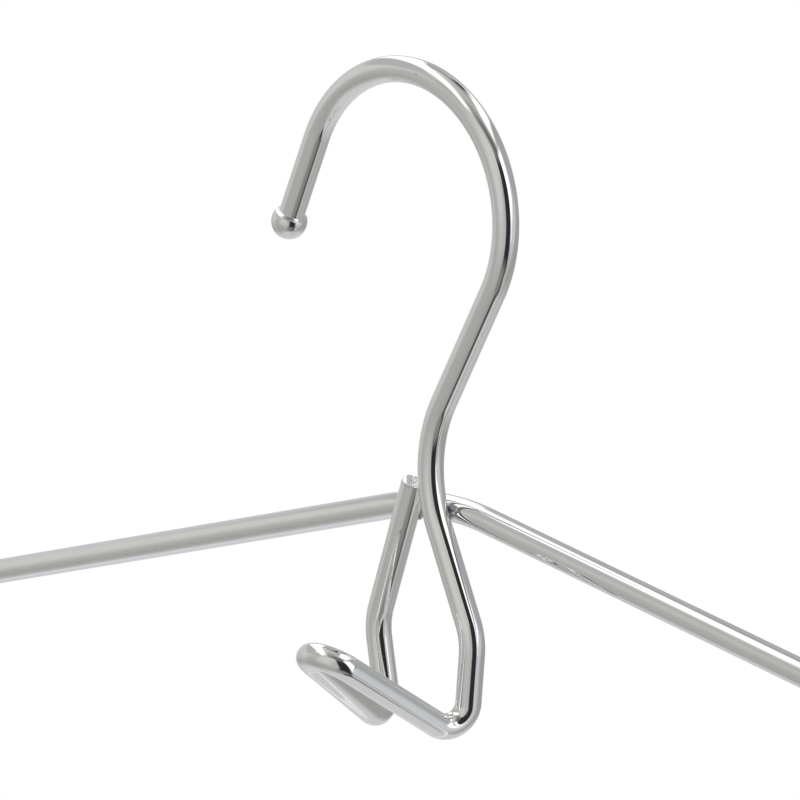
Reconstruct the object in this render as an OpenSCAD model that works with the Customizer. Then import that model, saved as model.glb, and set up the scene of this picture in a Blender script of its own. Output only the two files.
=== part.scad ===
// Trouser hanger of chrome plated round steel wire. One wire makes the hook, two legs and a cascade
// loop that points forward and up. A second wire behind the legs makes the shoulders and the bar.
// The origin is the point under the top of the hook that rests on the rail. X is across, -Y is the
// front, where the loop points, and Z is up.

/* [Wire] */
// Diameter of the round wire of the hook and of the frame
wire_d = 4.5; // [3.5:0.1:5.5]
// How much the wire thins where it is bent
bend_thinning = 0.02; // [0.01:0.01:0.1]
// How far the crossing wires sink into each other at their welds
weld_sink = 0.15; // [0.05:0.05:0.3]
// Diameter of the weld metal squeezed out round each crossing
weld_d = 4; // [3:0.1:5]

/* [Hook] */
// Inside diameter of the round of the hook
hook_inside_d = 43; // [36:0.5:52]
// Angle that the round of the hook turns through
hook_turn = 185; // [170:1:200]
// Straight end of the hook, from the round to the centre of the ball
tip_len = 16.7; // [8:0.1:30]
// Diameter of the ball on the end of the hook
ball_d = 6.3; // [5.8:0.1:9]
// Straight part of the neck, between its lower bend and the round
neck_len = 23.2; // [12:0.1:40]
// Lean of the neck away from upright
neck_lean = 31.8; // [26:0.1:38]
// Radius of the neck's lower bend, at the centre of the wire
neck_bend_r = 24; // [18:0.5:30]

/* [Legs] */
// Distance between the two feet, centre to centre
foot_spread = 18.3; // [14:0.1:26]
// Depth of the feet's corners below the crown
foot_drop = 39.2; // [32:0.1:48]
// Length of each foot, from its corner to the corner of the knee
foot_len = 18.5; // [15:0.1:24]
// Outward lean of each foot from upright
foot_lean = 7.7; // [0:0.1:12]
// Length of the right leg, from the corner of the knee to the corner of the neck
leg_len = 31.9; // [28:0.1:38]
// Inward lean of each leg from upright
leg_lean = 21.8; // [18:0.1:26]
// Radius of the knees, at the centre of the wire
knee_r = 11.3; // [6:0.1:16]
// Length of the left leg, from the corner of the knee to its sheared end
cut_len = 27.7; // [24:0.1:30]
// Bevel that the plating leaves on the sheared end
cut_bevel = 0.2; // [0.1:0.05:0.4]

/* [Cascade loop] */
// Length of the loop's rails, from the corner of the foot to the corner at the tip
loop_len = 31; // [24:0.5:45]
// Rise of the loop from level
loop_tilt = 35.7; // [20:0.1:50]
// Width of the loop between the corners at its tip
loop_tip_w = 7.6; // [6.6:0.1:12]
// Radius of the bend between foot and rail, at the centre of the wire
foot_bend_r = 3.85; // [3:0.05:6]

/* [Frame] */
// Width of the hanger over its rounded ends
frame_w = 400; // [330:5:480]
// Depth of the trouser bar below the crown, centre to centre
bar_drop = 85; // [70:1:110]
// Fall of the shoulders from level
shoulder_slope = 13.2; // [8:0.1:14]
// Radius of the crown, at the centre of the wire
crown_r = 52; // [30:1:90]
// Gap between the wire's two ends, filled by the butt weld
butt_gap = 1; // [0.5:0.1:2]
// Height of the butt weld's bead above the wire
bead_h = 0.3; // [0.2:0.05:0.4]
// Width of the butt weld's bead along the wire
bead_w = 2.6; // [2.2:0.1:4]

/* [Sleeve] */
// Wall of the thin non-slip sleeve on the bar
sleeve_wall = 0.6; // [0.5:0.05:3]
// Bare wire left at each end of the bar, between the sleeve and the bend
bare_end = 15; // [5:1:40]
// Bevel of the sleeve's ends
sleeve_bevel = 0.2; // [0.1:0.05:0.4]

/* [Hidden] */
$fn = 96;
wire_r = wire_d / 2;
chrome = [0.80, 0.81, 0.81];
weld_grey = [0.62, 0.62, 0.61];
sleeve_white = [0.88, 0.88, 0.87];
// How far each straight reaches into the bend beside it, so that the two are one solid
joint_lap = 0.05;

// Directions and corner points of the hook wire, seen with the top of the crown as zero
function heading(a) = [sin(a), 0, cos(a)];
function mirrored(p) = [-p.x, p.y, p.z];
foot = [foot_spread / 2, 0, -foot_drop];
knee = foot + foot_len * heading(foot_lean);
neck = knee + leg_len * heading(-leg_lean);
left_knee = mirrored(knee);
cut_end = left_knee + cut_len * heading(leg_lean);
loop_tip = [
    loop_tip_w / 2,
    -loop_len * cos(loop_tilt),
    loop_len * sin(loop_tilt) - foot_drop
];
// The rails draw together towards the tip, whose one bend turns less than half a circle
loop_draw = atan((foot_spread - loop_tip_w) / 2 / loop_len);
loop_tip_r = loop_tip_w / 2 / tan((90 - loop_draw) / 2);
loop_apex = foot + (loop_tip - foot) * foot_spread / (foot_spread - loop_tip_w);

// The round of the hook starts where the neck ends
hook_r = hook_inside_d / 2 + wire_r;
neck_reach = neck_bend_r * tan((leg_lean + neck_lean) / 2);
round_start = neck + (neck_reach + neck_len) * heading(neck_lean);
round_centre = round_start + hook_r * heading(neck_lean - 90);
tip_lean = neck_lean - hook_turn;
round_end = round_centre - hook_r * heading(tip_lean - 90);
ball_centre = round_end + tip_len * heading(tip_lean);
seat = round_centre + [0, 0, hook_inside_d / 2];

lower_path = [cut_end, left_knee, mirrored(foot), loop_apex, foot, knee, neck, round_start];
lower_radii = [0, knee_r, foot_bend_r, loop_tip_r, foot_bend_r, knee_r, neck_bend_r, 0];

// The frame lies behind the legs, sunk into them at the welds
frame_y = wire_d - weld_sink;
frame_half = frame_w / 2 - wire_r;
crown_corner = crown_r * (1 / cos(shoulder_slope) - 1);
end_r = ((crown_corner + bar_drop) * cos(shoulder_slope) - frame_half * sin(shoulder_slope))
    / (1 + cos(shoulder_slope) - sin(shoulder_slope));
end_corner_x = (crown_corner + bar_drop) / tan(shoulder_slope);
function frame_point(x, z) = [x, frame_y, z];
frame_path = [
    frame_point(butt_gap / 2, -bar_drop),
    frame_point(end_corner_x, -bar_drop),
    frame_point(0, crown_corner),
    frame_point(-end_corner_x, -bar_drop),
    frame_point(-butt_gap / 2, -bar_drop)
];
frame_radii = [0, end_r, crown_r, end_r, 0];

// Where each leg crosses the crown of the frame
bend_centre = neck - neck_reach * heading(-leg_lean) + neck_bend_r * heading(90 - leg_lean);
left_crossing = left_knee.x - left_knee.z * tan(leg_lean);
right_crossing = bend_centre.x - sqrt(neck_bend_r * neck_bend_r - bend_centre.z * bend_centre.z);

// The butt weld's bead is the cap of a circle that stands bead_h above the wire over bead_w
bead_r = (bead_w * bead_w / 4 + bead_h * bead_h) / (2 * bead_h);
sleeve_len = 2 * (frame_half - end_r - bare_end);
sleeve_r = wire_r + sleeve_wall;

function unit(v) = v / norm(v);
function angle_between(a, b) = acos(max(-1, min(1, unit(a) * unit(b))));
function run(path, i) = unit(path[i + 1] - path[i]);
function bend_turn(path, i) = angle_between(run(path, i - 1), run(path, i));
// Length that the bend at a corner takes from each straight beside it
function reach(path, radii, i) =
    i == 0 || i == len(path) - 1 ? 0 : radii[i] * tan(bend_turn(path, i) / 2);

// Turns what points along Z until it points along the direction
module along(direction) {
    polar = acos(direction.z / norm(direction));
    rotate([0, polar, atan2(direction.y, direction.x)]) children();
}

// A straight length of wire between two points
module straight(start, end, d) {
    translate(start) along(end - start) cylinder(h = norm(end - start), d = d);
}

// One bend: a piece of a ring, turned into its plane and then spun to its start
module bend(start, before, axis, radius, turn, d) {
    inward = unit(cross(axis, before));
    polar = acos(axis.z);
    swing = atan2(axis.y, axis.x);
    side = [-sin(swing), cos(swing), 0];
    fore = [cos(swing) * cos(polar), sin(swing) * cos(polar), -sin(polar)];
    translate(start + radius * inward)
        along(axis)
        rotate([0, 0, atan2(-inward * side, -inward * fore)])
        rotate_extrude(angle = turn)
        translate([radius, 0]) circle(d = d - bend_thinning);
}

// A wire bent at each corner of its path, with that corner's radius
module bent_wire(path, radii, d) {
    last = len(path) - 1;
    for (i = [0 : last - 1]) {
        way = run(path, i);
        lap_before = i == 0 ? 0 : joint_lap;
        lap_after = i == last - 1 ? 0 : joint_lap;
        straight(
            path[i] + (reach(path, radii, i) - lap_before) * way,
            path[i + 1] - (reach(path, radii, i + 1) - lap_after) * way,
            d
        );
    }
    for (i = [1 : last - 1]) {
        before = run(path, i - 1);
        bend(
            path[i] - reach(path, radii, i) * before,
            before,
            unit(cross(before, run(path, i))),
            radii[i],
            bend_turn(path, i),
            d
        );
    }
}

// Puts what is drawn from the crown into the hanger's own frame
module from_seat() translate(-seat) children();

module hook_solid() {
    past_neck = joint_lap * heading(neck_lean);
    before_tip = joint_lap * heading(tip_lean);
    bent_wire(lower_path, lower_radii, wire_d);
    straight(round_start - past_neck, round_start + past_neck, wire_d);
    bend(round_start, heading(neck_lean), [0, -1, 0], hook_r, hook_turn, wire_d);
    straight(round_end - before_tip, ball_centre, wire_d);
}

module frame_solid() bent_wire(frame_path, frame_radii, wire_d);

// What the bevel takes off the rim of the sheared end
module cut_bevel_ring()
    translate(cut_end)
    along(heading(leg_lean))
    rotate_extrude()
    polygon([
        [wire_r - cut_bevel, 0],
        [wire_r + cut_bevel, -2 * cut_bevel],
        [wire_r + cut_bevel, cut_bevel],
        [wire_r - cut_bevel, cut_bevel]
    ]);

module hook_wire() {
    color(chrome) from_seat() difference() {
        hook_solid();
        cut_bevel_ring();
    }
}

// The ball has a blind hole that the end of the wire fills up to the ball's centre
module hook_ball() {
    color(chrome) from_seat() translate(ball_centre) difference() {
        sphere(d = ball_d);
        along(-heading(tip_lean)) cylinder(h = ball_d, d = wire_d);
    }
}

module frame_wire() {
    color(chrome) from_seat() frame_solid();
}

// The disc of weld metal squeezed out where a leg crosses the frame
module squeezed_out(x) {
    translate([x, frame_y / 2, 0]) rotate([90, 0, 0]) cylinder(h = wire_r, d = weld_d, center = true);
}

// What the two wires leave of the disc fills the crease between them
module weld_left() {
    color(weld_grey) from_seat() difference() {
        squeezed_out(left_crossing);
        hook_solid();
        frame_solid();
    }
}

// Where the legs cross the frame close together, the right leg's weld stops at the left one
module weld_right() {
    color(weld_grey) from_seat() difference() {
        squeezed_out(right_crossing);
        squeezed_out(left_crossing);
        hook_solid();
        frame_solid();
    }
}

// Outline of the bead and of the metal between the two wire ends, before it is revolved
module bead_outline() {
    intersection() {
        translate([wire_r + bead_h - bead_r, 0]) circle(r = bead_r);
        translate([wire_r, -bead_w / 2]) square([bead_h, bead_w]);
    }
}

module bar_weld() {
    color(weld_grey) from_seat() translate(frame_point(0, -bar_drop)) rotate([0, 90, 0]) {
        rotate_extrude() bead_outline();
        cylinder(h = butt_gap, d = wire_d, center = true);
    }
}

// The sleeve's bore fits the wire, with a recess over the bead of the butt weld
module bar_sleeve() {
    end = sleeve_len / 2;
    edge = sleeve_r - sleeve_bevel;
    shoulder = end - sleeve_bevel;
    recess_r = wire_r + bead_h;
    recess = bead_w / 2;
    color(sleeve_white) from_seat() translate(frame_point(0, -bar_drop)) rotate([0, 90, 0]) rotate_extrude()
        polygon([
            [wire_r, -end],
            [edge, -end],
            [sleeve_r, -shoulder],
            [sleeve_r, shoulder],
            [edge, end],
            [wire_r, end],
            [wire_r, recess],
            [recess_r, recess],
            [recess_r, -recess],
            [wire_r, -recess]
        ]);
}

hook_wire();
hook_ball();
frame_wire();
weld_left();
weld_right();
bar_weld();
bar_sleeve();
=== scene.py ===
"""Trouser hanger of bright chrome wire. One length of wire makes the hook, both legs and the cascade
loop, and another makes the shoulders and the bar."""
from math import acos, atan, cos, degrees, hypot, pi, radians, sin, tan

import bpy
from mathutils import Matrix, Vector, noise


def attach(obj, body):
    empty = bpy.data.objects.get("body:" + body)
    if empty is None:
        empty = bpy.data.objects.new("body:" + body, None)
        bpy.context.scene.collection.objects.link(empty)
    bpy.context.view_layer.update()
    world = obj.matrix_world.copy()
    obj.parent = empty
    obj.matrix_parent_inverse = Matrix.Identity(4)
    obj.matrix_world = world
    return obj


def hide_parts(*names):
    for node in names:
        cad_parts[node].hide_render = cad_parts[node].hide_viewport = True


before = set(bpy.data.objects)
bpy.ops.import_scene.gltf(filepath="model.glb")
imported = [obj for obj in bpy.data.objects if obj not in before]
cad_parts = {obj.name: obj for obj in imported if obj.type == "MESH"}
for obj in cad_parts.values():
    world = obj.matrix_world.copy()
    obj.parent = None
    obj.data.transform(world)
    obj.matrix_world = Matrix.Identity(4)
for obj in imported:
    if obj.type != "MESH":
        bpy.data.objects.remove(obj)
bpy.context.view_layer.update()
MM = 0.001


# Hook wire
# One length of 4.5 mm drawn steel wire, bent cold and chrome plated. It makes the round of the hook,
# the neck, the right leg, the cascade loop and the left leg, and is sheared off at the left leg's top.
wire_radius = 2.25 * MM
hook_inside = 43 * MM
hook_turn = 185.0
tip_length = 16.7 * MM
neck_length = 23.2 * MM
neck_lean = 31.8
neck_bend = 24 * MM
leg_length = 31.9 * MM
leg_lean = 21.8
knee_bend = 11.3 * MM
foot_length = 18.5 * MM
foot_lean = 7.7
foot_bend = 3.85 * MM
foot_spread = 18.3 * MM
foot_drop = 39.2 * MM
loop_length = 31 * MM
loop_tilt = 35.7
loop_tip_width = 7.6 * MM
cut_length = 27.7 * MM
shear_depth = 0.6 * MM


def heading(lean):
    """Direction in the hanger's plane, lean degrees away from upright."""
    return Vector((sin(radians(lean)), 0, cos(radians(lean))))


def mirrored(place):
    """The same place on the other leg."""
    return Vector((-place.x, place.y, place.z))


# Corners of the legs and the loop, seen from the top of the crown, between the two welds
right_foot = Vector((foot_spread / 2, 0, -foot_drop))
right_knee = right_foot + heading(foot_lean) * foot_length
neck = right_knee + heading(-leg_lean) * leg_length
left_foot = mirrored(right_foot)
left_knee = mirrored(right_knee)
cut_end = left_knee + heading(leg_lean) * cut_length
apex_reach = loop_length * foot_spread / (foot_spread - loop_tip_width)
loop_apex = Vector((0, -cos(radians(loop_tilt)), sin(radians(loop_tilt)))) * apex_reach
loop_apex.z -= foot_drop
loop_draw = atan((foot_spread - loop_tip_width) / 2 / loop_length)
loop_tip_bend = loop_tip_width / 2 / tan(radians(45) - loop_draw / 2)

# The round of the hook, in three bends that are a hair tighter than it, so that they stay apart
hook_radius = hook_inside / 2 + wire_radius
round_bend = 0.999 * hook_radius
neck_reach = neck_bend * tan(radians((leg_lean + neck_lean) / 2))
round_start = neck + heading(neck_lean) * (neck_reach + neck_length)
round_centre = round_start + heading(neck_lean - 90) * hook_radius
third = hook_turn / 3
corner_reach = hook_radius / cos(radians(third / 2))
round_corners = [
    round_centre + heading(neck_lean + 90 - third * (step + 0.5)) * corner_reach for step in range(3)
]
tip_lean = neck_lean - hook_turn
round_end = round_centre + heading(tip_lean + 90) * hook_radius
ball_centre = round_end + heading(tip_lean) * tip_length

# The hanger's zero lies on the rail, at the highest point inside the hook
crown = -round_centre - Vector((0, 0, hook_inside / 2))

hook_path = [
    (cut_end - heading(leg_lean) * shear_depth, 0),
    (left_knee, knee_bend),
    (left_foot, foot_bend),
    (loop_apex, loop_tip_bend),
    (right_foot, foot_bend),
    (right_knee, knee_bend),
    (neck, neck_bend),
    *[(corner, round_bend) for corner in round_corners],
    (ball_centre, 0),
]


class Signal:
    """One socket of a node tree. Arithmetic on it adds Math nodes."""

    def __init__(self, tree, socket=None):
        self.tree = tree
        self.socket = socket

    def node(self, kind, settings=None, values=None, output=0):
        """Adds a node: its settings first, then the values or links of its sockets."""
        made = self.tree.nodes.new(kind)
        for name, value in (settings or {}).items():
            if name == "stops":
                ramp = made.color_ramp
                while len(ramp.elements) < len(value):
                    ramp.elements.new(0.5)
                for element, (place, shade) in zip(ramp.elements, value):
                    element.position = place
                    element.color = (*shade, 1)
            else:
                setattr(made, name, value)
        for name, value in (values or {}).items():
            if isinstance(value, Signal):
                self.tree.links.new(value.socket, made.inputs[name])
            else:
                made.inputs[name].default_value = value
        return Signal(self.tree, made.outputs[output])

    def math(self, operation, *values):
        """A Math node on these values."""
        return self.node("ShaderNodeMath", {"operation": operation}, dict(enumerate(values)))

    def __add__(self, other):
        return self.math("ADD", self, other)

    def __sub__(self, other):
        return self.math("SUBTRACT", self, other)

    def __rsub__(self, other):
        return self.math("SUBTRACT", other, self)

    def __mul__(self, other):
        return self.math("MULTIPLY", self, other)

    __radd__ = __add__
    __rmul__ = __mul__

    def ramp(self, low, high):
        """0 below low, 1 above high, with a smooth rise between them."""
        return self.node(
            "ShaderNodeMapRange",
            {"interpolation_type": "SMOOTHSTEP"},
            {"Value": self, "From Min": low, "From Max": high},
        )

    def mix(self, mask, other):
        """This colour where the mask is 0, and the other where it is 1."""
        return self.node(
            "ShaderNodeMix", {"data_type": "RGBA"}, {"Factor": mask, 6: self, 7: other}, output=2
        )

    def stretched(self, x, y, z):
        """This place, with each of its coordinates multiplied."""
        return self.node("ShaderNodeVectorMath", {"operation": "MULTIPLY"}, {0: self, 1: (x, y, z)})

    def clouds(self, scale, detail):
        """Noise over this place. The finer the grain, the larger the scale."""
        return self.node(
            "ShaderNodeTexNoise", values={"Vector": self, "Scale": scale, "Detail": detail}
        )

    def shades(self, *stops):
        """A colour for each value, from stops of a value and its colour."""
        return self.node("ShaderNodeValToRGB", {"stops": stops}, {"Fac": self})

    def relief(self, strength, depth):
        """A normal that shows this pattern as a relief of that depth."""
        return self.node(
            "ShaderNodeBump", values={"Height": self, "Strength": strength, "Distance": depth}
        )


def new_material(name):
    """A material and its Principled node, with a signal to start its other nodes from."""
    material = bpy.data.materials.new(name)
    material.use_nodes = True
    return material, material.node_tree.nodes["Principled BSDF"], Signal(material.node_tree)


def feed(surface, **sockets):
    """Links signals, or sets values, on the Principled node's sockets."""
    for name, value in sockets.items():
        socket = surface.inputs[name.replace("_", " ")]
        if isinstance(value, Signal):
            value.tree.links.new(value.socket, socket)
        else:
            socket.default_value = value


def bright_chrome_wire():
    """Decorative chrome over drawn wire. The die's faint lines run along the wire, so the pattern
    reads the place that each point had on the straight wire before it was bent."""
    material, surface, start = new_material("bright_chrome_wire")
    straight = start.node("ShaderNodeAttribute", {"attribute_name": "straight"}, output=1)
    die_lines = straight.stretched(1, 1, 0.035).clouds(1500, 3)
    ripple = straight.clouds(260, 2)
    haze = straight.clouds(90, 4)
    flecks = straight.clouds(1100, 1).ramp(0.79, 0.84)
    clean = haze.shades((0.3, (0.865, 0.868, 0.862)), (0.7, (0.895, 0.9, 0.9)))
    feed(
        surface,
        Base_Color=clean.mix(flecks, (0.6, 0.58, 0.55, 1)),
        Metallic=1.0,
        Roughness=0.03 + haze * 0.05 + flecks * 0.2,
        Normal=(die_lines * 0.35 + ripple).relief(0.2, 0.02 * MM),
    )
    return material


chrome = bright_chrome_wire()


def bent_wire_tree():
    """Nodes that fillet each corner of a path with its own radius and sweep a round wire along it."""
    tree = bpy.data.node_groups.new("bent_wire", "GeometryNodeTree")
    start = Signal(tree)
    tree.interface.new_socket("Wire", in_out="OUTPUT", socket_type="NodeSocketGeometry")
    for name, kind in (
        ("Corners", "NodeSocketGeometry"),
        ("Wire Radius", "NodeSocketFloat"),
        ("Steps per Bend", "NodeSocketInt"),
        ("Sides", "NodeSocketInt"),
        ("Plating", "NodeSocketMaterial"),
    ):
        tree.interface.new_socket(name, in_out="INPUT", socket_type=kind)
    entry = tree.nodes.new("NodeGroupInput")
    given = {socket.name: Signal(tree, socket) for socket in entry.outputs if socket.name}

    def stored(geometry, name, kind, value):
        """The geometry, with this value kept on its points under this name."""
        return start.node(
            "GeometryNodeStoreNamedAttribute",
            {"data_type": kind, "domain": "POINT"},
            {"Geometry": geometry, "Name": name, "Value": value},
        )

    def named(name, kind):
        """The value that the points keep under this name."""
        return start.node("GeometryNodeInputNamedAttribute", {"data_type": kind}, {"Name": name})

    path = start.node("GeometryNodeMeshToCurve", values={"Mesh": given["Corners"]})
    bent = start.node(
        "GeometryNodeFilletCurve",
        {"mode": "POLY"},
        {
            "Curve": path,
            "Count": given["Steps per Bend"],
            "Radius": named("bend_radius", "FLOAT"),
        },
    )
    run = start.node("GeometryNodeSplineParameter", output=1)
    bent = stored(bent, "run", "FLOAT", run)
    section = start.node(
        "GeometryNodeCurvePrimitiveCircle",
        {"mode": "RADIUS"},
        {"Resolution": given["Sides"], "Radius": given["Wire Radius"]},
    )
    section = stored(section, "section", "FLOAT_VECTOR", start.node("GeometryNodeInputPosition"))
    swept = start.node(
        "GeometryNodeCurveToMesh", values={"Curve": bent, "Profile Curve": section, "Fill Caps": True}
    )
    along = start.node("ShaderNodeCombineXYZ", values={"Z": named("run", "FLOAT")})
    place = start.node(
        "ShaderNodeVectorMath", {"operation": "ADD"}, {0: named("section", "FLOAT_VECTOR"), 1: along}
    )
    swept = stored(swept, "straight", "FLOAT_VECTOR", place)
    # Only the wall is smooth. Its faces have 4 corners, and the two flat ends have one for each side
    corners = start.node("GeometryNodeInputMeshFaceNeighbors")
    wall = start.node(
        "FunctionNodeCompare", {"data_type": "INT", "operation": "LESS_EQUAL"}, {2: corners, 3: 4}
    )
    smooth = start.node("GeometryNodeSetShadeSmooth", values={"Geometry": swept, "Shade Smooth": wall})
    real = start.node("GeometryNodeRealizeInstances", values={"Geometry": smooth})
    plated = start.node(
        "GeometryNodeSetMaterial", values={"Geometry": real, "Material": given["Plating"]}
    )
    leave = tree.nodes.new("NodeGroupOutput")
    tree.links.new(plated.socket, leave.inputs["Wire"])
    return tree


bent_wire = bent_wire_tree()


def in_scene(name, data):
    """A new object with this mesh or camera, put in the scene."""
    made = bpy.data.objects.new(name, data)
    bpy.context.scene.collection.objects.link(made)
    return made


def draw_wire(name, path, steps, sides):
    """A wire through the corners of a path, each given as its place, seen from the top of the crown,
    and its bend's radius."""
    corners = bpy.data.meshes.new(name + "_corners")
    joined = [(i, i + 1) for i in range(len(path) - 1)]
    corners.from_pydata([crown + place for place, _ in path], joined, [])
    radii = corners.attributes.new("bend_radius", "FLOAT", "POINT")
    radii.data.foreach_set("value", [radius for _, radius in path])
    source = in_scene(name + "_source", corners)
    sweep = source.modifiers.new("sweep", "NODES")
    sweep.node_group = bent_wire
    sizes = {"Wire Radius": wire_radius, "Steps per Bend": steps, "Sides": sides, "Plating": chrome}
    for socket in bent_wire.interface.items_tree:
        if socket.name in sizes:
            sweep[socket.identifier] = sizes[socket.name]
    ready = source.evaluated_get(bpy.context.evaluated_depsgraph_get())
    mesh = bpy.data.meshes.new_from_object(ready)
    for spare in ("run", "section", "bend_radius"):
        if spare in mesh.attributes:
            mesh.attributes.remove(mesh.attributes[spare])
    bpy.data.objects.remove(source)
    return in_scene(name, mesh)


hook_wire = draw_wire("hook_wire_bent", hook_path, steps=40, sides=64)
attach(hook_wire, "root")
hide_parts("hook_wire")


# Sheared end
# The top of the left leg, as the shear left it: the blade came in from the left, rolled that edge over
# and burnished it, until the rest of the wire broke off rough. The plating went on after the cut.
cut_bevel = 0.2 * MM
plug_gap = 0.03 * MM
plug_length = 0.2 * MM
blade_turn = 47.84
end_up = heading(leg_lean)
end_middle = crown + cut_end

# The shape of the cut, in millimetres. Places are measured along the blade's way across the end
rolled_until = -1.2
rolled_rate = 0.55
broken_from = -0.6
break_depth = 0.2
break_slope = 0.04
burnish_depth = 0.03
deepest = 0.55
fade = 0.35


def turned(name, centre, axis, outline, sides, closed=False):
    """A body turned round an axis, from the radius and height of each point of its outline. An open
    outline starts and ends on the axis, and a closed one stays clear of it."""
    up = axis.normalized()
    across = up.orthogonal().normalized()
    back = up.cross(across)
    places, rings = [], []
    for radius, height in outline:
        count = 1 if radius < 1e-9 else sides
        rings.append(range(len(places), len(places) + count))
        for i in range(count):
            angle = 2 * pi * i / sides
            places.append(centre + up * height + (across * cos(angle) + back * sin(angle)) * radius)
    faces = []
    for low, high in zip(rings, rings[1:] + rings[:1] * closed):
        for i in range(sides):
            j = (i + 1) % sides
            if len(low) == 1:
                faces.append((low[0], high[j], high[i]))
            elif len(high) == 1:
                faces.append((low[i], low[j], high[0]))
            else:
                faces.append((low[i], low[j], high[j], high[i]))
    mesh = bpy.data.meshes.new(name)
    mesh.from_pydata(places, [], faces)
    mesh.polygons.foreach_set("use_smooth", [True] * len(faces))
    return in_scene(name, mesh)


def arc(centre, radius, first, last, steps):
    """Points of a circle's arc in an outline, from one angle to another in degrees."""
    angles = [radians(first + (last - first) * i / steps) for i in range(steps + 1)]
    return [(centre[0] + radius * cos(angle), centre[1] + radius * sin(angle)) for angle in angles]


# The piece starts inside the bent wire, as a plug that is a hair thinner than it
plug = wire_radius - plug_gap
flat = wire_radius - cut_bevel
flat_rings = 20
end_outline = [
    (0, -shear_depth - plug_length),
    (plug, -shear_depth - plug_length),
    (plug, -shear_depth),
    (wire_radius, -shear_depth),
    *arc((flat, -cut_bevel), cut_bevel, 0, 90, 5),
    *[(flat * (1 - ring / flat_rings), 0) for ring in range(1, flat_rings + 1)],
]
wire_end = turned("sheared_end", end_middle, end_up, end_outline, 64)
blade = heading(leg_lean + 90) * cos(radians(blade_turn)) + Vector((0, sin(radians(blade_turn)), 0))
broken = set()
for vertex in wire_end.data.vertices:
    place = (vertex.co - end_middle) / MM
    across = place.dot(blade)
    drop = rolled_rate * max(0, rolled_until - across) ** 2
    if across > broken_from:
        rough = noise.fractal(place * 2.1, 0.8, 2.1, 3)
        drop += break_depth * (1 + rough) + break_slope * (across - broken_from)
        broken.add(vertex.index)
    else:
        drop += burnish_depth * noise.noise(place * 1.6)
    free = min(1, max(0, (place.dot(end_up) + shear_depth / MM) / fade))
    vertex.co -= end_up * free * min(deepest, max(0, drop)) * MM
for face in wire_end.data.polygons:
    face.use_smooth = not broken.issuperset(face.vertices)


def plated_shear():
    """Plating over sheared steel: grains of the broken steel show through it."""
    material, surface, start = new_material("plated_shear")
    place = start.node("ShaderNodeTexCoord", output="Object")
    grain = start.node("ShaderNodeTexVoronoi", values={"Vector": place, "Scale": 2600.0})
    patch = place.clouds(900, 3)
    feed(
        surface,
        Base_Color=patch.shades((0.35, (0.74, 0.745, 0.75)), (0.6, (0.95, 0.95, 0.95))),
        Metallic=1.0,
        Roughness=0.08 + patch * 0.25,
        Normal=(grain * 0.6 + patch).relief(0.8, 0.06 * MM),
    )
    return material


wire_end.data.materials.append(plated_shear())
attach(wire_end, "root")


# Frame wire
# A second length of the same wire, bent to the crown, the two shoulders, the rounded ends and the
# bar. It lies behind the legs, and its two ends meet in the middle of the bar.
frame_width = 400 * MM
bar_drop = 85 * MM
shoulder_slope = radians(13.2)
crown_bend = 52 * MM
butt_gap = 1 * MM
weld_sink = 0.15 * MM
frame_y = 2 * wire_radius - weld_sink
frame_half = frame_width / 2 - wire_radius
crown_corner = crown_bend * (1 / cos(shoulder_slope) - 1)
end_corner = (crown_corner + bar_drop) / tan(shoulder_slope)
end_bend = ((crown_corner + bar_drop) * cos(shoulder_slope) - frame_half * sin(shoulder_slope)) / (
    1 + cos(shoulder_slope) - sin(shoulder_slope)
)


def on_frame(x, z):
    """A place on the frame's middle line, seen from the top of the crown."""
    return Vector((x, frame_y, z))


frame_path = [
    (on_frame(butt_gap / 2, -bar_drop), 0),
    (on_frame(end_corner, -bar_drop), end_bend),
    (on_frame(0, crown_corner), crown_bend),
    (on_frame(-end_corner, -bar_drop), end_bend),
    (on_frame(-butt_gap / 2, -bar_drop), 0),
]
frame_wire = draw_wire("frame_wire_bent", frame_path, steps=64, sides=64)
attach(frame_wire, "root")
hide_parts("frame_wire")


# Hook ball
# A steel ball on the end of the hook, so that it doesn't scratch the rail. It is drilled, turned to a
# short cone where the wire goes in, pressed on and plated with the wire.
ball_radius = 3.15 * MM
mouth_radius = 2.83 * MM
cone_slope = 0.7
cone_angle = acos(mouth_radius / ball_radius)
cone_foot = ball_radius * sin(cone_angle)
crease_angle = 1.0
crease_width = 0.04 * MM


def chrome_ball():
    """Chrome over a turned ball, a little duller and more uneven than over drawn wire."""
    material, surface, start = new_material("chrome_ball")
    place = start.node("ShaderNodeTexCoord", output="Object")
    cloud = place.clouds(420, 4)
    pits = place.clouds(2400, 2)
    feed(
        surface,
        Base_Color=cloud.shades((0.35, (0.83, 0.83, 0.825)), (0.65, (0.9, 0.9, 0.9))),
        Metallic=1.0,
        Roughness=0.05 + cloud * 0.12,
        Normal=(cloud + pits * 0.12).relief(0.5, 0.03 * MM),
    )
    return material


def on_cone(radius):
    """The point of the cone at this radius."""
    return (radius, cone_foot + cone_slope * (mouth_radius - radius))


# A narrow ring of faces on each side of the crease between ball and cone keeps it sharp
cone_top = on_cone(wire_radius)[1]
ball_outline = [
    *arc((0, 0), ball_radius, -90, degrees(cone_angle) - crease_angle, 45),
    on_cone(mouth_radius),
    on_cone(mouth_radius - crease_width),
    on_cone(wire_radius + 2 * crease_width),
    (wire_radius + 0.02 * MM, cone_top + 0.02 * MM),
    (wire_radius - 0.1 * MM, cone_top + 0.05 * MM),
    (0, cone_top + 0.05 * MM),
]
hook_ball = turned("hook_ball_turned", crown + ball_centre, -heading(tip_lean), ball_outline, 96)
hook_ball.data.materials.append(chrome_ball())
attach(hook_ball, "root")
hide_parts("hook_ball")


# Welds
# Each leg is resistance welded to the crown where it crosses, which leaves a small uneven rim of
# squeezed-out metal between the two wires. A butt weld joins the wire's ends under the sleeve.

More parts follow.
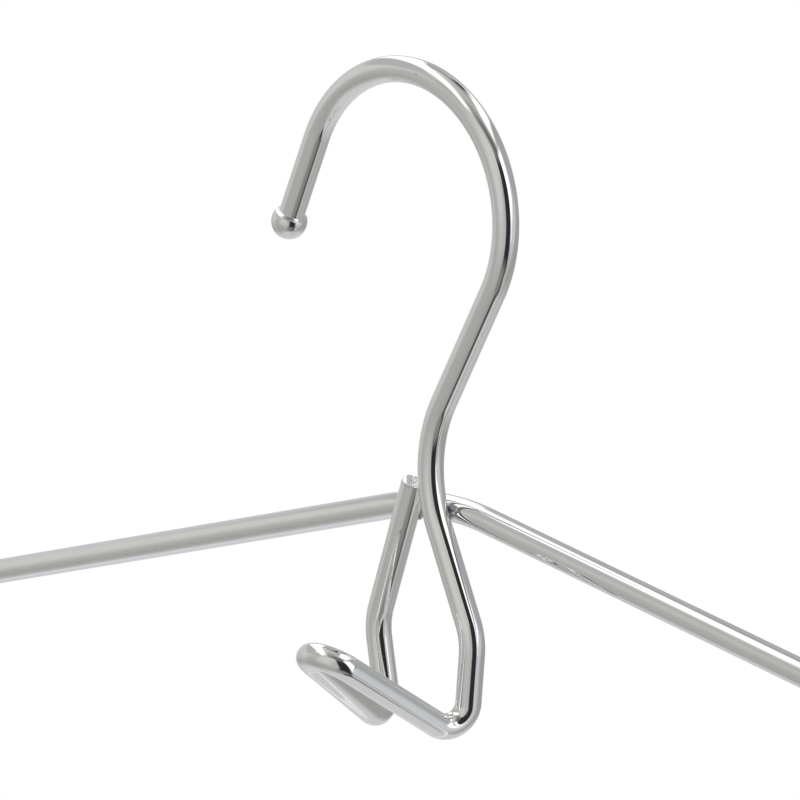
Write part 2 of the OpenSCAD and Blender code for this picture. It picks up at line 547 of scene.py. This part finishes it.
# The rim is a disc with a round edge: the radii of its flat and of the edge's middle, and half its depth
rim_flat = 0.7 * MM
rim_middle = 1.35 * MM
rim_half = 0.5 * MM

# The flash under the left weld: the way it hangs, and the cosine of its half angle
flash_way = Vector((0.25, -0.1, -0.96))
flash_edge = 0.86

# The left weld lies where its leg crosses the crown. The right one lies 1.8 mm outside its crossing,
# where its metal shows beside the leg, which bends away there
left_weld_x = left_knee.x - left_knee.z * tan(radians(leg_lean))
right_weld_x = 5.23 * MM


def plated_weld():
    """Plating over weld metal, which stays lumpy and dull under it. Its dark patches are partly weld
    burn and partly painted shade from between the two wires.
    """
    material, surface, start = new_material("plated_weld")
    place = start.node("ShaderNodeTexCoord", output="Object")
    lumps = place.clouds(1300, 4)
    # Dark patches in the base colour: partly weld burn, partly painted shade where the weld sits between
    # the two wires
    burn_and_shade = place.clouds(500, 3)
    feed(
        surface,
        Base_Color=burn_and_shade.shades((0.4, (0.2, 0.205, 0.22)), (0.6, (0.76, 0.77, 0.79))),
        Metallic=1.0,
        Roughness=0.14 + lumps * 0.25,
        Normal=lumps.relief(0.8, 0.08 * MM),
    )
    return material


weld = plated_weld()
rim_outline = [
    (0, -rim_half),
    (rim_flat, -rim_half),
    *arc((rim_middle, 0), rim_half, -90, 90, 12),
    (rim_flat, rim_half),
    (0, rim_half),
]
for node, x, size, flash in (
    ("weld_left", left_weld_x, 1, 2.7),
    ("weld_right", right_weld_x, 0.68, 0),
):
    middle = crown + Vector((x, frame_y / 2, 0))
    nugget = turned(node + "_rim", middle, Vector((0, -1, 0)), rim_outline, 64)
    for vertex in nugget.data.vertices:
        place = vertex.co - middle
        spill = 0.16 * noise.fractal(vertex.co * 900, 1.0, 2.0, 3)
        lip = max(0, place.normalized().dot(flash_way) - flash_edge) * flash
        vertex.co = middle + place * (size + spill + lip)
    nugget.data.materials.append(weld)
    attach(nugget, "root")
    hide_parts(node)
bar_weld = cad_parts["bar_weld"]
bar_weld.data.materials.clear()
bar_weld.data.materials.append(weld)


# Sleeve
# A thin tube of soft milky vinyl pushed over the bar, which keeps the trousers from sliding off. Its
# wall is a little uneven along the length, as it came from the extruder.
sleeve_wall = 0.6 * MM
sleeve_gap = 0.01 * MM
sleeve_edge = 0.2 * MM
bare_end = 15 * MM
unevenness = 0.03 * MM
sleeve_radius = wire_radius + sleeve_wall
sleeve_bore = wire_radius + sleeve_gap
sleeve_half = frame_half - end_bend - bare_end
bar_middle = crown + on_frame(0, -bar_drop)


def milky_vinyl():
    """Soft extruded vinyl: faint lines along the tube, a dull bloom and a few grey scuffs."""
    material, surface, start = new_material("milky_vinyl")
    place = start.node("ShaderNodeTexCoord", output="Object")
    drawn_out = place.stretched(0.03, 1, 1)
    lines = drawn_out.clouds(1400, 2)
    scuffs = drawn_out.clouds(700, 3).ramp(0.66, 0.74)
    bloom = place.clouds(120, 5)
    grain = place.clouds(3800, 1)
    clean = bloom.shades((0.3, (0.835, 0.835, 0.812)), (0.7, (0.87, 0.87, 0.853)))
    feed(
        surface,
        Base_Color=clean.mix(scuffs * 0.5, (0.6, 0.6, 0.59, 1)),
        Roughness=0.36 + bloom * 0.2,
        Normal=(lines * 0.7 + grain * 0.3).relief(0.4, 0.04 * MM),
    )
    return material


edge_middle = sleeve_radius - sleeve_edge
wall_half = sleeve_half - 2 * sleeve_edge
wall_steps = 80
sleeve_outline = [
    *arc((edge_middle, -sleeve_half + sleeve_edge), sleeve_edge, -90, 0, 4),
    *[(sleeve_radius, (2 * step / wall_steps - 1) * wall_half) for step in range(wall_steps + 1)],
    *arc((edge_middle, sleeve_half - sleeve_edge), sleeve_edge, 0, 90, 4),
    (sleeve_bore, sleeve_half),
    (sleeve_bore, -sleeve_half),
]
bar_sleeve = turned("bar_sleeve_tube", bar_middle, Vector((1, 0, 0)), sleeve_outline, 48, closed=True)
for vertex in bar_sleeve.data.vertices:
    place = vertex.co - bar_middle
    spread = hypot(place.y, place.z)
    if spread > edge_middle:
        thin = unevenness * (1 + noise.noise(Vector((place.x * 60, place.y * 200, place.z * 200))))
        vertex.co -= Vector((0, place.y, place.z)) / spread * thin
bar_sleeve.data.materials.append(milky_vinyl())
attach(bar_sleeve, "root")
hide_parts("bar_sleeve")


# Studio
# The hanger hangs in a pale room: white ceiling and back, grey walls, a dark stand right of the
# camera with a white strip beside it, and a pale floor well below. The chrome shows all of it.
world = bpy.data.worlds.new("studio")
world.use_nodes = True
bpy.context.scene.world = world
world.node_tree.nodes.clear()
sky = Signal(world.node_tree)
direction = sky.node("ShaderNodeTexCoord")
warm = (1.0, 1.012, 0.955)
plain = (1.0, 1.005, 1.0)
cool = (0.98, 1.0, 1.03)


def tone(level, tint):
    """A tint at this level of brightness."""
    return (level * tint[0], level * tint[1], level * tint[2], 1)


def dot(axis):
    """How far the direction of the ray runs along an axis."""
    return sky.node(
        "ShaderNodeVectorMath", {"operation": "DOT_PRODUCT"}, {0: direction, 1: axis}, output=1
    )


def panel(azimuth, height, roll, half_width, half_height, edge):
    """1 on one panel of the studio, seen from the hanger, and 0 around it. All angles in degrees."""
    a, h, r = radians(azimuth), radians(height), radians(roll)
    aim = Vector((sin(a) * cos(h), -cos(a) * cos(h), sin(h)))
    level = Vector((cos(a), sin(a), 0))
    rise = Vector((-sin(a) * sin(h), cos(a) * sin(h), cos(h)))
    across = cos(r) * level + sin(r) * rise
    upward = cos(r) * rise - sin(r) * level
    soft = sin(radians(edge)) / 2

    def inside(axis, half):
        """1 within this half angle of the panel's middle line, and 0 beyond it."""
        away = sky.math("ABSOLUTE", dot(axis))
        half = sin(radians(half))
        return 1 - away.ramp(half - soft, half + soft)

    return inside(across, half_width) * inside(upward, half_height) * dot(aim).ramp(0, 0.2)


room = sky.node("ShaderNodeRGB")
room.socket.default_value = tone(0.36, warm)
# Azimuth, height, roll, half width, half height and soft edge of each panel, then its level and tint
for place, level, tint in (
    ((-73, 25, -38, 37, 30, 40), 0.64, warm),    # left wall
    ((-117, 6, 10, 28, 21, 23), 0.61, cool),     # its far half
    ((17, 25, -24, 26, 47, 40), 0.64, warm),     # wall behind the camera's left
    ((87, -9, 48, 47, 36, 20), 0.51, cool),      # right wall
    ((-135, -61, 14, 39, 14, 30), 0.71, cool),   # foot of the backdrop
    ((12, -90, -17, 32, 24, 27), 0.64, plain),   # floor under the hanger
    ((42, 64, -48, 40, 27, 5), 0.74, warm),      # ceiling over the camera
    ((-82, 42, -3, 37, 14, 5), 0.48, plain),     # gap below the left strip light
    ((-85, 63, -61, 10.3, 51, 4), 1.35, plain),  # left strip light overhead
    ((162, 50, 64, 10, 39, 6), 1.35, plain),     # right strip light overhead
    ((-164, 40, 65, 13, 18, 7), 0.6, cool),      # far end between the strip lights
    ((-179, 36, 50, 7, 16, 5), 1.35, plain),     # lower end of the right strip light
    ((-169, 55, 8, 5, 9, 6), 0.03, plain),       # dark gap where the strip lights meet
    ((69, 43, -50, 34, 17, 27), 0.13, warm),     # head of the dark stand
    ((67, -5, -6, 19, 35, 8), 0.025, plain),     # dark stand beside the camera
    ((64, -48, 10, 13, 12, 6), 0.09, warm),      # foot of the dark stand
    ((48, -43, -16, 14, 10, 16), 0.25, warm),    # cloth at its foot
    ((52, -57, 0, 5.5, 3.5, 4), 0.05, plain),    # shadow under the cloth
    ((116, 9, -2, 14, 31, 24), 0.6, cool),       # glow right of the upright strip light
    ((103, 9, 3, 15, 28, 6), 1.35, plain),       # upright strip light at the right
    ((118, -6, -47, 12, 25, 14), 0.62, cool),    # its foot
    ((-138, -25, -17, 22, 33, 22), 0.68, cool),  # backdrop behind the hanger
    ((163, 16, -8, 38, 16, 24), 0.4, cool),      # far right corner
    ((-142, 12, 10, 6, 30, 10), 0.44, plain),    # edge of the backdrop
    ((42, 62, -14, 9, 5, 25), 0.42, warm),       # beam in the ceiling
    ((90, 75, -10, 7, 24, 22), 0.43, warm),      # end of the ceiling
):
    room = room.mix(panel(*place), tone(level, tint))
# Only mirrored rays see the room, and all others see plain white
white = sky.node("ShaderNodeRGB")
white.socket.default_value = (1, 1, 1, 1)
seen = white.mix(sky.node("ShaderNodeLightPath", output="Is Glossy Ray"), room)
backdrop = sky.node("ShaderNodeBackground", values={"Color": seen, "Strength": 1.0})
world_output = world.node_tree.nodes.new("ShaderNodeOutputWorld")
world.node_tree.links.new(backdrop.socket, world_output.inputs["Surface"])


def pale_floor():
    """Matt white, which shows in the chrome as one even tone."""
    material, surface, start = new_material("pale_floor")
    feed(surface, Base_Color=(1, 1, 1, 1), Roughness=1.0, Specular_IOR_Level=0.0)
    glow = start.node("ShaderNodeEmission", values={"Color": tone(0.63, plain), "Strength": 1.0})
    mirrored_ray = start.node("ShaderNodeLightPath", output="Is Glossy Ray")
    paint = Signal(start.tree, surface.outputs[0])
    lit = start.node("ShaderNodeMixShader", values={0: mirrored_ray, 1: paint, 2: glow})
    start.tree.links.new(lit.socket, start.tree.nodes["Material Output"].inputs["Surface"])
    return material


# The disc is small enough that the neck mirrors the foot of the dark stand beside it
floor_radius = 0.26
floor_z = -0.55
floor_sides = 96
floor_angles = [2 * pi * i / floor_sides for i in range(floor_sides)]
floor_mesh = bpy.data.meshes.new("floor")
floor_mesh.from_pydata(
    [(floor_radius * cos(angle), floor_radius * sin(angle), floor_z) for angle in floor_angles],
    [],
    [range(floor_sides)],
)
floor = in_scene("floor", floor_mesh)
floor_mesh.materials.append(pale_floor())

# The camera looks from the hanger's front right, a little down
camera_place = Vector((0.635268, -0.617512, 0.0976))
camera_turn = 45.929
camera_fall = 9.711
camera_roll = -1.687
camera = bpy.data.cameras.new("camera")
camera.sensor_width = 36
camera.lens = 238.744
viewer = in_scene("camera", camera)
viewer.matrix_world = (
    Matrix.Translation(camera_place)
    @ Matrix.Rotation(radians(camera_turn), 4, "Z")
    @ Matrix.Rotation(radians(90 - camera_fall), 4, "X")
    @ Matrix.Rotation(radians(camera_roll), 4, "Z")
)
bpy.context.scene.camera = viewer
bpy.context.scene.view_settings.view_transform = "Standard"
